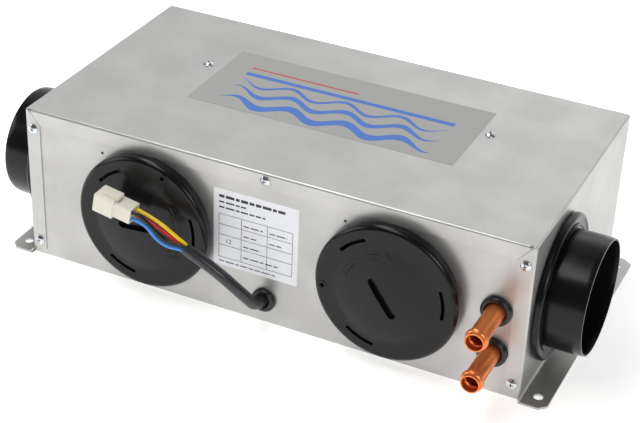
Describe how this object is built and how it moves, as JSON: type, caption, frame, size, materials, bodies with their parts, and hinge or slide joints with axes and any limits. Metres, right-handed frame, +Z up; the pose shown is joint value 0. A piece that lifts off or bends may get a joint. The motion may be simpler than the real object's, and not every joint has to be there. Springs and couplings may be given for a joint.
{
  "type": "vehicle air heater",
  "caption": "Hot-water-fed air heater for a caravan or boat: folded stainless casing, round duct ports with bayonet caps and collars, copper hose tails and a twin centrifugal blower",
  "frame": {"origin": "On the underside of the feet, at the centre of the four foot holes", "axes": "X runs along the length of the casing, the front wall with the blanking caps and hose tails faces -Y, Z is up"},
  "size_m": [0.536, 0.2991, 0.1476],
  "materials": {
    "stainless_sheet": "cold-rolled stainless sheet, fine grain",
    "galvanised_sheet": "galvanised sheet, dull",
    "zinc_steel": "bright zinc plate",
    "copper": "drawn copper, lightly tarnished",
    "brass": "bare brass",
    "black_plastic": "moulded, semi-gloss",
    "grey_plastic": "moulded, matt",
    "black_rubber": "smooth moulded rubber",
    "grey_foam": "closed-cell foam",
    "dark_ferrite": "sintered, dark grey",
    "white_ceramic": "cement-filled ceramic",
    "cream_nylon": "natural nylon, satin",
    "black_pvc": "PVC, satin",
    "yellow_pvc": "PVC insulation",
    "red_pvc": "PVC insulation",
    "blue_pvc": "PVC insulation"
  },
  "bodies": {
    "casing": {"cover": "stainless_sheet", "base_tray": "stainless_sheet", "casing_screws": "zinc_steel", "deck_screws": "zinc_steel", "port_seals": "black_rubber", "supply_tail": "copper", "return_tail": "copper", "tail_grommets": "black_rubber", "harness_grommet": "black_rubber", "fan_deck": "galvanised_sheet", "core_tubes": "copper", "core_fins": "copper", "core_side_plates": "brass", "supply_tank": "brass", "return_tank": "brass", "tank_baffle": "brass", "core_cradles": "galvanised_sheet", "core_foam": "grey_foam", "core_seal_frame": "grey_foam", "scroll_left_outer": "black_plastic", "scroll_left_inner": "black_plastic", "scroll_right_inner": "black_plastic", "scroll_right_outer": "black_plastic", "motor_can": "zinc_steel", "motor_end_caps": "zinc_steel", "shaft_bushes": "brass", "motor_magnets": "dark_ferrite", "motor_brushes": "dark_ferrite", "motor_saddle": "galvanised_sheet", "motor_straps": "galvanised_sheet", "speed_resistor": "white_ceramic", "resistor_plug": "cream_nylon", "inner_loom": "black_pvc", "loom_clips": "galvanised_sheet", "harness_sleeve": "black_pvc", "wire_yellow": "yellow_pvc", "wire_red": "red_pvc", "wire_black": "black_pvc", "wire_blue": "blue_pvc", "connector_housing": "cream_nylon", "connector_terminals": "zinc_steel"},
    "fan_rotor": {"fan_shaft": "zinc_steel", "armature": "zinc_steel", "armature_windings": "copper", "commutator": "copper", "fan_wheel_left": "grey_plastic", "fan_wheel_right": "grey_plastic"},
    "left_cap": {"blanking_cap_left": "black_plastic"},
    "right_cap": {"blanking_cap_right": "black_plastic"},
    "left_collar": {"duct_collar_left": "black_plastic"},
    "right_collar": {"duct_collar_right": "black_plastic"}
  },
  "joints": [
    {"name": "fan_spin", "type": "hinge", "parent": "casing", "child": "fan_rotor", "pos_m": [0, 0.069, 0.072], "axis": [1, 0, 0], "continuous": true},
    {"name": "left_cap_turn", "type": "hinge", "parent": "casing", "child": "left_cap", "pos_m": [-0.10875, -0.12, 0.0725], "axis": [0, -1, 0], "range_deg": [0, 30]},
    {"name": "right_cap_turn", "type": "hinge", "parent": "casing", "child": "right_cap", "pos_m": [0.11425, -0.12, 0.0725], "axis": [0, -1, 0], "range_deg": [0, 30]},
    {"name": "left_collar_turn", "type": "hinge", "parent": "casing", "child": "left_collar", "pos_m": [-0.23, -0.053, 0.0725], "axis": [-1, 0, 0], "range_deg": [0, 30]},
    {"name": "right_collar_turn", "type": "hinge", "parent": "casing", "child": "right_collar", "pos_m": [0.23, -0.053, 0.0725], "axis": [1, 0, 0], "range_deg": [0, 30]}
  ]
}
